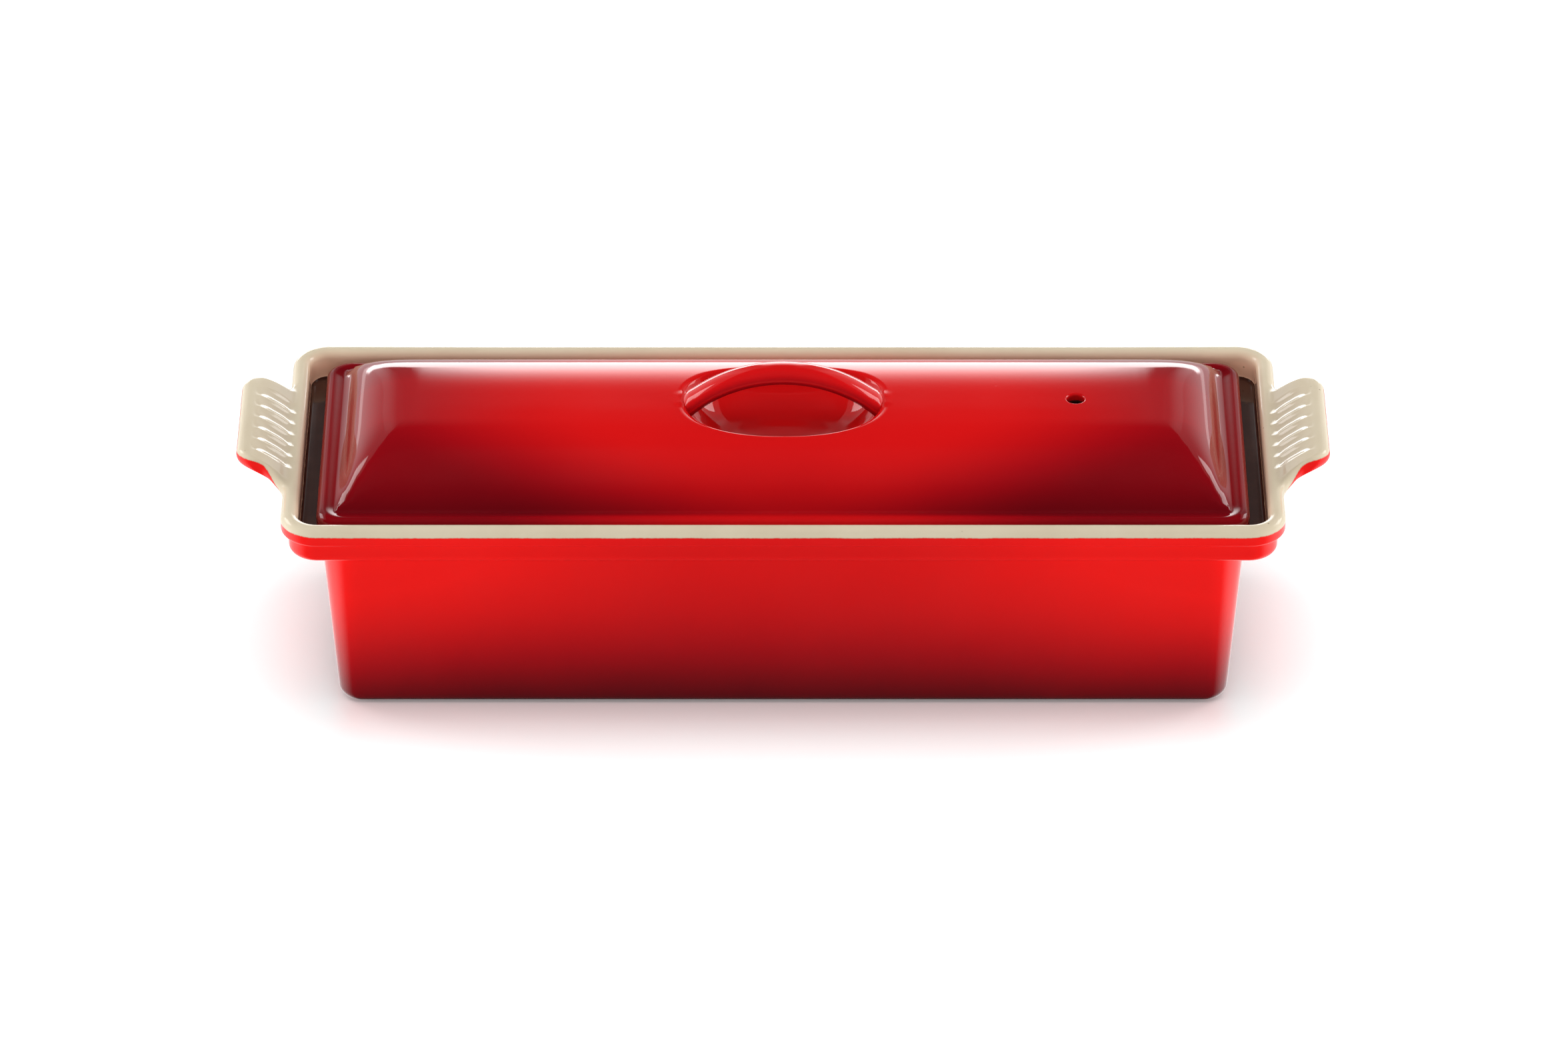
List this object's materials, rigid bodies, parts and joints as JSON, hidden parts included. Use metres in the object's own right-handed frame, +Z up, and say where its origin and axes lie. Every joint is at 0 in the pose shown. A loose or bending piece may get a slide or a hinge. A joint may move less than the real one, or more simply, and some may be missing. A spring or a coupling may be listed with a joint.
{
  "type": "terrine dish",
  "caption": "Long rectangular enamelled cast-iron terrine dish with fluted tab handles, and a crowned lid with a bridge bar over a finger well and a steam hole.",
  "frame": {"origin": "on the surface that the dish stands on, under the middle of the dish", "axes": "+Z up, +X along the dish towards the steam hole, +Y towards the back of the picture's view"},
  "size_m": [0.3504, 0.116, 0.1028],
  "materials": {
    "dish_enamel": "gloss enamel, red outside with a cream rim and inside",
    "lid_enamel": "gloss enamel, graded red outside and cream underneath"
  },
  "bodies": {
    "root": {"dish": "dish_enamel", "lid": "lid_enamel"}
  },
  "joints": []
}
